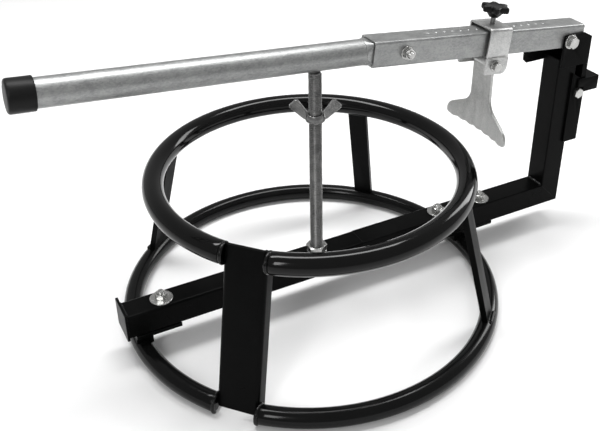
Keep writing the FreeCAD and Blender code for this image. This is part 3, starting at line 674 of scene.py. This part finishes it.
crossFastening("hinge", hingeFastener, "stand", ("hinge_bolt", "hinge_washers", "hinge_nut"), 1)
crossFastening("clamp", clampFastener, "stand", ("bracket_bolt", "bracket_washer", "bracket_nut"), 1,
               bothWashers=False)
crossFastening("handle", handleFastener, "lever", ("handle_bolt", "handle_bolt_washers", "handle_nut"), -1)
crossFastening("shoePivot", shoeFastener, "slider",
               ("shoe_pivot_bolt", "shoe_pivot_washers", "shoe_pivot_nut"), 1)
print("crosswise fasteners made")


ringSize = {"tube": 11.1, "baseRadius": 228.6, "topRadius": 187.0, "topHeight": 183.0, "sleeve": 12.6,
            "jointAngle": radians(-137.8), "gap": 24.55, "sleeveGap": 25.4}


def openRing(bm, ringRadius, tubeRadius, height, gap, steps, sections, lip):
    # a tube bent round from one side of the joint leg to the other, with rounded ends
    start = ringSize["jointAngle"] + gap / ringRadius
    turn = 2 * pi - 2 * gap / ringRadius
    ends = [(0.0, 0.72), (lip * 0.25, 0.87), (lip * 0.6, 0.965), (lip, 1.0)]
    stations = [(start + extra / ringRadius, share) for extra, share in ends]
    stations += [(start + turn * step / steps, 1.0) for step in range(1, steps)]
    stations += [(start + turn - extra / ringRadius, share) for extra, share in reversed(ends)]
    path = [Vector((ringRadius * cos(angle), ringRadius * sin(angle), height)) for angle, share in stations]
    sweep(bm, path, [tubeRadius * share for angle, share in stations], sections)


bm = bmesh.new()
openRing(bm, ringSize["topRadius"], ringSize["sleeve"], ringSize["topHeight"], ringSize["sleeveGap"],
         120, 36, 3.2)
addPiece("topRingSleeve", bm, "stand", blackVinyl, onRings, ("top_ring_sleeve",))
bm = bmesh.new()
openRing(bm, ringSize["baseRadius"], ringSize["tube"], ringSize["tube"], ringSize["gap"], 140, 36, 2.4)
addPiece("baseRing", bm, "stand", blackRing, onRings, ("base_ring",))
print("rings made")


def beadMesh(bm, path, radius, ripple=2.2):
    # an overlapping row of puddles along the path, tapered at both ends
    fine = []
    for first, second in zip(path, path[1:]):
        count = max(2, int((second - first).length / 0.6))
        fine += [first.lerp(second, step / count) for step in range(count)]
    fine.append(path[-1])
    radii = []
    run = 0.0
    for index, point in enumerate(fine):
        if index:
            run += (point - fine[index - 1]).length
        ends = min(index, len(fine) - 1 - index) / 3
        puddle = 0.88 + 0.12 * abs(sin(run * pi / ripple))
        uneven = 1 + 0.16 * noise.noise(point * 0.21)
        radii.append(radius * puddle * uneven * min(1.0, 0.45 + ends * 0.55))
    sweep(bm, fine, radii, 14)


def weldPiece(name, paths, radius, body, finish, place):
    bm = bmesh.new()
    for path in paths:
        beadMesh(bm, [Vector(point) for point in path], radius)
    addPiece(name, bm, body, finish, place, sharp=60)


def arcAround(ringRadius, height, along, tubeRadius, start, end, count=28):
    # points on the tube's surface in the plane that crosses the ring beside the joint leg
    points = []
    for step in range(count + 1):
        turn = start + (end - start) * step / count
        reach = (ringRadius ** 2 - along ** 2) ** 0.5 + tubeRadius * cos(turn)
        points.append((reach, along, height + tubeRadius * sin(turn)))
    return points


weldSize = {"ring": 2.4, "foot": 2.1, "corner": 3.2, "saddle": 1.3, "halfRun": 14, "rise": 0.4}
onJoint = onRings @ Matrix.Rotation(ringSize["jointAngle"], 4, "Z")
for title, side in (("Right", 1), ("Left", -1)):
    along = side * (ringSize["gap"] + 0.7)
    topArc = arcAround(ringSize["topRadius"], ringSize["topHeight"], along, ringSize["tube"] - 0.6,
                       radians(-120), radians(150))
    weldPiece("topRingWeld" + title, [topArc], weldSize["ring"], "stand", blackWeld, onJoint)
    baseArc = arcAround(ringSize["baseRadius"], ringSize["tube"], along, ringSize["tube"] - 0.8,
                        radians(-60), radians(175))
    weldPiece("baseRingWeld" + title, [baseArc], weldSize["ring"], "stand", blackWeld, onJoint)

legSize = {"width": 25.4, "thickness": 7.5, "footRadius": 230.1,
           "angles": {"FrontRight": -47.3, "BackRight": 42.7, "BackLeft": 132.7}}


def legWelds(ringRadius, ringHeight, legRadius, side):
    # one bead along each wide face of a flat leg, where it meets the ring above or below it
    paths = []
    half = legSize["width"] / 2 - 1
    for face in (-1, 1):
        reach = legRadius + face * (legSize["thickness"] / 2 + 0.5)
        lift = (ringSize["tube"] ** 2 - (reach - ringRadius) ** 2) ** 0.5
        height = ringHeight + side * (lift + weldSize["rise"])
        paths.append([(reach, -half, height), (reach, 0, height), (reach, half, height)])
    return paths


for title, angle in legSize["angles"].items():
    place = onRings @ Matrix.Rotation(radians(angle), 4, "Z")
    paths = legWelds(ringSize["baseRadius"], ringSize["tube"], legSize["footRadius"], 1)
    paths += legWelds(ringSize["topRadius"], ringSize["topHeight"], ringSize["topRadius"], -1)
    weldPiece("legWelds" + title, paths, weldSize["foot"], "stand", blackWeld, place)


def acrossBar(x):
    # a straight run across the bar's top face
    height = barHigh.z / mm + weldSize["rise"]
    return [(x, -weldSize["halfRun"], height), (x, weldSize["halfRun"], height)]


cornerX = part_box("post")[0].x / mm - 0.4
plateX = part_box("bar_end_plate")[1].x / mm + 0.6
weldPiece("postCornerWeld", [acrossBar(cornerX)], weldSize["corner"], "stand", blackWeld, toMetres)
weldPiece("endPlateWeld", [acrossBar(plateX)], weldSize["foot"], "stand", blackWeld, toMetres)
saddleEdge = {"ends": (-138.0, -107.0), "side": 22.0, "height": -10.55}
seams = []
for side in (-1, 1):
    seams.append([(x, side * saddleEdge["side"], saddleEdge["height"]) for x in saddleEdge["ends"]])
weldPiece("saddleWelds", seams, weldSize["saddle"], "slider", zincWeld, onLever)
print("weld beads made")


def jointChannel(bm, size):
    # a bent channel: web outside, flanges inwards, and the top inner corners cut away
    def section(half, web, bend):
        depth = size["depth"]
        return roundedOutline([(half, depth, 0), (half, web, bend), (-half, web, bend), (-half, depth, 0)], 8)

    def reach(inwards, height):
        return size["topRadius"] + (size["slopeFrom"] - height) * size["slope"] - inwards

    wall = size["wall"]
    outer = section(size["half"], 0, size["bend"])
    inner = section(size["half"] - wall, wall, size["bend"] - wall)

    rings = []
    for near, far in zip(outer, inner):
        top = size["top"] - max(0.0, near[1] - size["flatTop"]) * size["crown"]
        corners = [(near, size["bottom"]), (near, top), (far, top), (far, size["bottom"])]
        places = [(reach(point[1], height), point[0], height) for point, height in corners]
        rings.append([bm.verts.new(place) for place in places])
    bridge(bm, rings)
    bm.faces.new(rings[0])
    bm.faces.new(rings[-1])
    rims = [edge for edge in bm.edges if len(edge.link_faces) == 2 and edge.calc_face_angle() > radians(50)]
    bmesh.ops.bevel(bm, geom=rims, offset=0.5, segments=2, profile=0.5, affect="EDGES")


channelSize = {"half": 24.5, "depth": 19.0, "wall": 3.0, "bend": 5.0, "bottom": 9.5, "top": 195.4,
               "flatTop": 4.0, "crown": 17.0 / 15.0, "topRadius": 187.0, "slopeFrom": 190.0,
               "slope": 43.0 / 182.0}
bm = bmesh.new()
jointChannel(bm, channelSize)
addPiece("jointLeg", bm, "stand", blackCoat, onJoint, ("leg_joint_channel",))
print("joint leg made")


def softened(name, node, body, finish, width):
    # a CAD node's own shape with flat faces joined up and its sharp edges rounded over
    bm = bmesh.new()
    bm.from_mesh(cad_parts[node].data)
    bmesh.ops.remove_doubles(bm, verts=bm.verts, dist=1e-6)
    bmesh.ops.dissolve_limit(bm, angle_limit=radians(1), verts=bm.verts, edges=bm.edges)
    edges = [edge for edge in bm.edges if len(edge.link_faces) == 2 and edge.calc_face_angle() > radians(40)]
    bmesh.ops.bevel(bm, geom=edges, offset=width * mm, segments=2, profile=0.5, affect="EDGES",
                    clamp_overlap=True)
    addPiece(name, bm, body, finish, Matrix.Identity(4), (node,))


softPlates = [
    # name, CAD node, body, finish, rounding in mm
    ("legFrontRight", "leg_front_right", "stand", blackCoat, 0.8),
    ("legBackRight", "leg_back_right", "stand", blackCoat, 0.8),
    ("legBackLeft", "leg_back_left", "stand", blackCoat, 0.8),
    ("padLeft", "mounting_pad_left", "stand", blackCoat, 0.5),
    ("padRight", "mounting_pad_right", "stand", blackCoat, 0.5),
    ("endPlate", "bar_end_plate", "stand", blackCoat, 0.4),
    ("hingeBracket", "hinge_bracket", "stand", blackCoat, 0.5),
    ("stopBlock", "stop_block", "stand", blackCoat, 0.5),
    ("saddle", "slider_saddle", "slider", zincPlate, 0.5),
    ("yokeFront", "yoke_tab_front", "slider", zincPlate, 0.5),
    ("yokeRear", "yoke_tab_rear", "slider", zincPlate, 0.5),
]
for name, node, body, finish, width in softPlates:
    softened(name, node, body, finish, width)
print("plates softened")


bladeSize = {"half": 19.0, "top": -4.5, "neck": -48.6, "tip": (61.0, -91.6), "drop": -96.6, "edge": 57.0,
             "scallops": 7, "scallopDepth": 2.2, "thick": 4.0, "front": -2.0, "bow": 321.0, "strips": 44}


def arcThrough(start, through, end, steps=8):
    # points on the circle through three points, from the first to the last
    a, b, c = Vector(start), Vector(through), Vector(end)
    aa, bb, cc = a.length_squared, b.length_squared, c.length_squared
    spread = 2 * (a.x * (b.y - c.y) + b.x * (c.y - a.y) + c.x * (a.y - b.y))
    across = aa * (b.y - c.y) + bb * (c.y - a.y) + cc * (a.y - b.y)
    upwards = aa * (c.x - b.x) + bb * (a.x - c.x) + cc * (b.x - a.x)
    centre = Vector((across, upwards)) / spread
    swing = (a - centre).angle_signed(b - centre) + (b - centre).angle_signed(c - centre)
    points = []
    for step in range(steps + 1):
        spoke = a - centre
        spoke.rotate(Matrix.Rotation(-swing * step / steps, 2))
        points.append(centre + spoke)
    return points


def bladeOutline(size):
    # the shoe's face: a straight shank that spreads into two wings over a scalloped lower edge
    half, edge, drop = size["half"], size["edge"], size["drop"]
    right = [Vector((half, size["top"]))]
    right += arcThrough((half, size["neck"]), (21.8, size["neck"] - 10), (30, size["neck"] - 18))
    right += arcThrough((50, -76.6), (58, -82.6), size["tip"])
    right += arcThrough(size["tip"], (60.3, -95.4), (edge, drop), 5)[1:]
    pitch = edge * 2 / size["scallops"]
    below = []
    for index in range(size["scallops"]):
        start = edge - index * pitch
        crest = (start - pitch / 2, drop - size["scallopDepth"])
        below += arcThrough((start, drop), crest, (start - pitch, drop), 6)[1:]
    left = [Vector((-point.x, point.y)) for point in reversed(right)]
    return right + below[:-1] + left


bm = bmesh.new()
flatPlate(bm, bladeOutline(bladeSize), bladeSize["thick"], 0.6)
widest = bladeSize["tip"][0]
for strip in range(1, bladeSize["strips"]):
    cut = widest * (2 * strip / bladeSize["strips"] - 1)
    everything = bm.verts[:] + bm.edges[:] + bm.faces[:]
    bmesh.ops.bisect_plane(bm, geom=everything, dist=1e-4, plane_co=(cut, 0, 0), plane_no=(1, 0, 0))
for vert in bm.verts:
    across, deep, height = vert.co
    sag = (bladeSize["bow"] ** 2 - across ** 2) ** 0.5 - bladeSize["bow"]
    vert.co = (bladeSize["front"] + deep + sag, across, height)
shoePivot = middle("shoe_pivot_bolt")
shoePivot.y = 0
addPiece("shoeBlade", bm, "shoe", zincShoe, Matrix.Translation(shoePivot) @ toMetres, ("shoe_blade",))
print("shoe blade made")


def pipeProfile(outer, inner, start, end, soft):
    outside = [(outer - soft, start), (outer, start + soft), (outer, end - soft), (outer - soft, end)]
    return [(inner, start)] + outside + [(inner, end)]


def capProfile(outer, length, bore, wall):
    # a moulded cup: domed end first, then the side, the mouth and the inside
    dome = [(0, 0), (outer - 3.4, 0), (outer - 1.9, 0.3), (outer - 0.7, 1.1), (outer - 0.1, 2.4)]
    side = [(outer, 4.0), (outer, length - 1.4), (outer - 0.3, length - 0.4), (outer - 1.1, length)]
    return dome + side + [(bore, length - 0.5), (bore, wall), (0, wall)]


handleSize = {"pipeStart": 9.1, "pipeEnd": 397.1, "pipe": 15.45, "bore": 13.55, "pipeSoft": 0.4,
              "cap": 17.7, "capLength": 27.0, "capBore": 15.5, "capWall": 2.8}
endwards = Matrix.Translation((-handlePlace["length"], 0, 0)) @ Matrix.Rotation(pi / 2, 4, "Y")
alongHandle = onHandle @ endwards
pipeStart = handlePlace["length"] - handleSize["pipeEnd"]
pipeEnd = handlePlace["length"] - handleSize["pipeStart"]
bm = bmesh.new()
pipe = pipeProfile(handleSize["pipe"], handleSize["bore"], pipeStart, pipeEnd, handleSize["pipeSoft"])
lathe(bm, pipe, 96, closed=True)
addPiece("handlePipe", bm, "lever", zincTube, alongHandle, ("handle_pipe",))
bm = bmesh.new()
cap = capProfile(handleSize["cap"], handleSize["capLength"], handleSize["capBore"], handleSize["capWall"])
lathe(bm, cap, 80)
addPiece("handleEndCap", bm, "lever", blackPlastic, alongHandle, ("handle_end_cap",))
print("handle made")


knobSize = {"lobes": 6, "mean": 15.3, "swell": 3.0, "stem": 6.0, "waist": 10.9, "stemHeight": 7.0,
            "head": 8.0, "bore": 3.12, "socket": 3.0}


def starRing(bm, inset, height, share=1.0):
    # the lobed outline of the knob's head, drawn in by inset; share 0 makes it round
    ring = []
    for step in range(120):
        angle = 2 * pi * step / 120
        wave = cos(knobSize["lobes"] * angle)
        lobe = wave * 0.85 + 0.15 * wave * abs(wave)
        radius = knobSize["mean"] + knobSize["swell"] * lobe * share - inset
        ring.append(bm.verts.new((radius * cos(angle), radius * sin(angle), height)))
    return ring


stemTop = knobSize["stemHeight"]
headTop = stemTop + knobSize["head"]
mean = knobSize["mean"]
knobLevels = [
    # inset, height, share: the stem from its bore, then the head's underside, rim and dished top
    (mean - knobSize["bore"], 0, 0), (mean - knobSize["stem"], 0, 0), (mean - 6.8, 1.2, 0),
    (mean - knobSize["waist"], stemTop - 0.6, 0),
    (2.6, stemTop, 0.5), (0.9, stemTop + 0.4, 0.95), (0.2, stemTop + 1.4, 1.0), (0.0, stemTop + 2.8, 1.0),
    (0.0, headTop - 2.6, 1.0), (0.3, headTop - 1.2, 1.0), (1.2, headTop - 0.3, 0.95), (2.6, headTop, 0.85),
    (6.0, headTop, 0.3), (6.8, headTop - 0.5, 0.0), (11.0, headTop - 0.8, 0.0),
]
bm = bmesh.new()
rings = [starRing(bm, inset, height, share) for inset, height, share in knobLevels]
rings.append([bm.verts.new((0, 0, headTop - 0.8))])
bridge(bm, rings)
socketTop = stemTop + knobSize["socket"]
socket = [bm.verts.new((vert.co.x, vert.co.y, socketTop)) for vert in rings[0]]
bridge(bm, [rings[0], socket, [bm.verts.new((0, 0, socketTop))]])

# the knob stands on the square tube, the saddle's head room and plate, and the bare screw
knobLocal = {"x": -121.8, "bottom": leverAxisRise + 15.875 + 3.3 + 2.5 + 8.8}
knobPlace = onLever @ Matrix.Translation((knobLocal["x"], 0, knobLocal["bottom"]))
addPiece("starKnob", bm, "knob", blackPlastic, knobPlace, ("clamp_knob",), sharp=40)
print("star knob made")


view = {"place": (-0.446446, -0.780759, 0.699245), "heading": 0.493, "dip": 0.513, "focal": 50.52,
        "shift": (-0.0515, -0.1041)}
lens = bpy.data.cameras.new("camera")
lens.sensor_width = 36
lens.lens = view["focal"]
lens.shift_x, lens.shift_y = view["shift"]
lens.clip_start = 0.01
camera = bpy.data.objects.new("camera", lens)
camera.location = view["place"]
camera.rotation_euler = (pi / 2 - view["dip"], 0, -view["heading"])
scene.collection.objects.link(camera)
scene.camera = camera

floorMesh = bpy.data.meshes.new("floor")
floorMesh.from_pydata([(-9, -9, 0), (9, -9, 0), (9, 9, 0), (-9, 9, 0)], [], [(0, 1, 2, 3)])
floor = bpy.data.objects.new("floor", floorMesh)
scene.collection.objects.link(floor)
floorMaterial, floorTree, floorShader = startMaterial("paleFloor")
floorShader.inputs["Base Color"].default_value = (0.86, 0.86, 0.86, 1)
floorShader.inputs["Roughness"].default_value = 0.9
floorShader.inputs["Specular IOR Level"].default_value = 0.1
floorMesh.materials.append(floorMaterial)

world = bpy.data.worlds.new("studio")
world.use_nodes = True
world.node_tree.nodes["Background"].inputs[0].default_value = (1, 1, 1, 1)
world.node_tree.nodes["Background"].inputs[1].default_value = 0.44
scene.world = world
scene.view_settings.view_transform = "Standard"

softboxes = {
    # name: (position, aims at, width, height, watts)
    "overheadSoftbox": ((0.1, 0.4, 2.2), (0, 0, 0.1), 2.0, 0.5, 48),
    "rightSoftbox": ((2.0, 0.2, 1.1), (0, 0, 0.15), 0.5, 1.3, 20),
    "leftSoftbox": ((-1.6, -1.3, 1.5), (0, 0, 0.15), 0.35, 0.9, 12),
}
for name, (place, aim, width, height, watts) in softboxes.items():
    light = bpy.data.lights.new(name, "AREA")
    light.shape = "RECTANGLE"
    light.size, light.size_y = width, height
    light.energy = watts
    lamp = bpy.data.objects.new(name, light)
    lamp.location = place
    lamp.rotation_euler = (Vector(aim) - Vector(place)).to_track_quat("-Z", "Y").to_euler()
    scene.collection.objects.link(lamp)
print("camera, floor and lights set")
